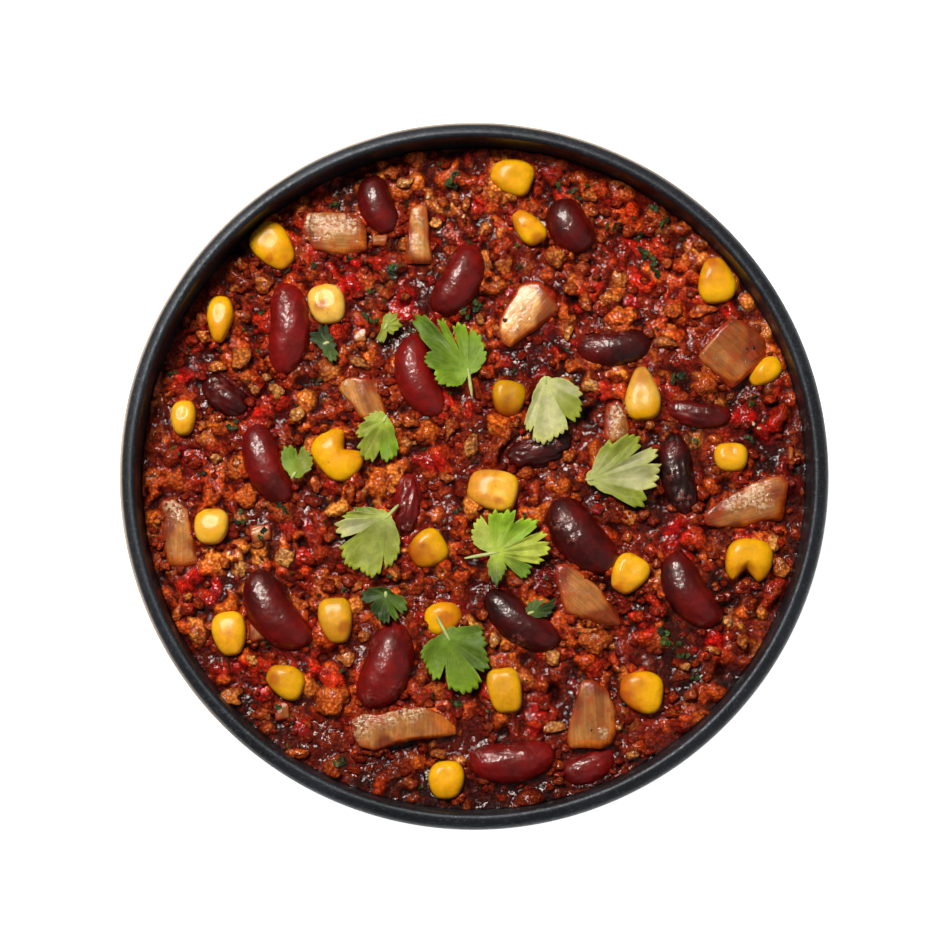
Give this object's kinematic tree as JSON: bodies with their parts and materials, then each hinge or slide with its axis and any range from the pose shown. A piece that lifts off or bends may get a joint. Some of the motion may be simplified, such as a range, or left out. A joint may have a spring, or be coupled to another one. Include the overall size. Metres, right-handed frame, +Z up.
{
  "type": "bowl of chili con carne",
  "caption": "Round black stoneware bowl filled with chili con carne: mince in tomato sauce with kidney beans, sweetcorn, onion and coriander leaves.",
  "frame": {"origin": "middle of the foot ring, on the surface that the bowl stands on", "axes": "+Z up through the middle of the bowl; -Y towards the viewer, +X to the viewer's right"},
  "size_m": [0.16, 0.16, 0.06],
  "materials": {
    "bowl": "satin",
    "chili": "gloss",
    "bean": "gloss",
    "corn": "gloss",
    "onion": "gloss",
    "leaf": "satin"
  },
  "bodies": {
    "root": {"bean_01": "bean", "bean_02": "bean", "bean_03": "bean", "bean_04": "bean", "bean_05": "bean", "bean_06": "bean", "bean_07": "bean", "bean_08": "bean", "bean_09": "bean", "bean_10": "bean", "bean_11": "bean", "bean_12": "bean", "bean_13": "bean", "bean_14": "bean", "bean_15": "bean", "bean_16": "bean", "bean_17": "bean", "bowl": "bowl", "chili": "chili", "corn_01": "corn", "corn_02": "corn", "corn_03": "corn", "corn_04": "corn", "corn_05": "corn", "corn_06": "corn", "corn_07": "corn", "corn_08": "corn", "corn_09": "corn", "corn_10": "corn", "corn_11": "corn", "corn_12": "corn", "corn_13": "corn", "corn_14": "corn", "corn_15": "corn", "corn_16": "corn", "corn_17": "corn", "corn_18": "corn", "corn_19": "corn", "corn_20": "corn", "corn_21": "corn", "corn_22": "corn", "leaf_01": "leaf", "leaf_02": "leaf", "leaf_03": "leaf", "leaf_04": "leaf", "leaf_05": "leaf", "leaf_06": "leaf", "leaf_07": "leaf", "leaf_08": "leaf", "leaf_09": "leaf", "onion_01": "onion", "onion_02": "onion", "onion_03": "onion", "onion_04": "onion", "onion_05": "onion", "onion_06": "onion", "onion_07": "onion", "onion_08": "onion", "onion_09": "onion", "onion_10": "onion"}
  },
  "joints": []
}
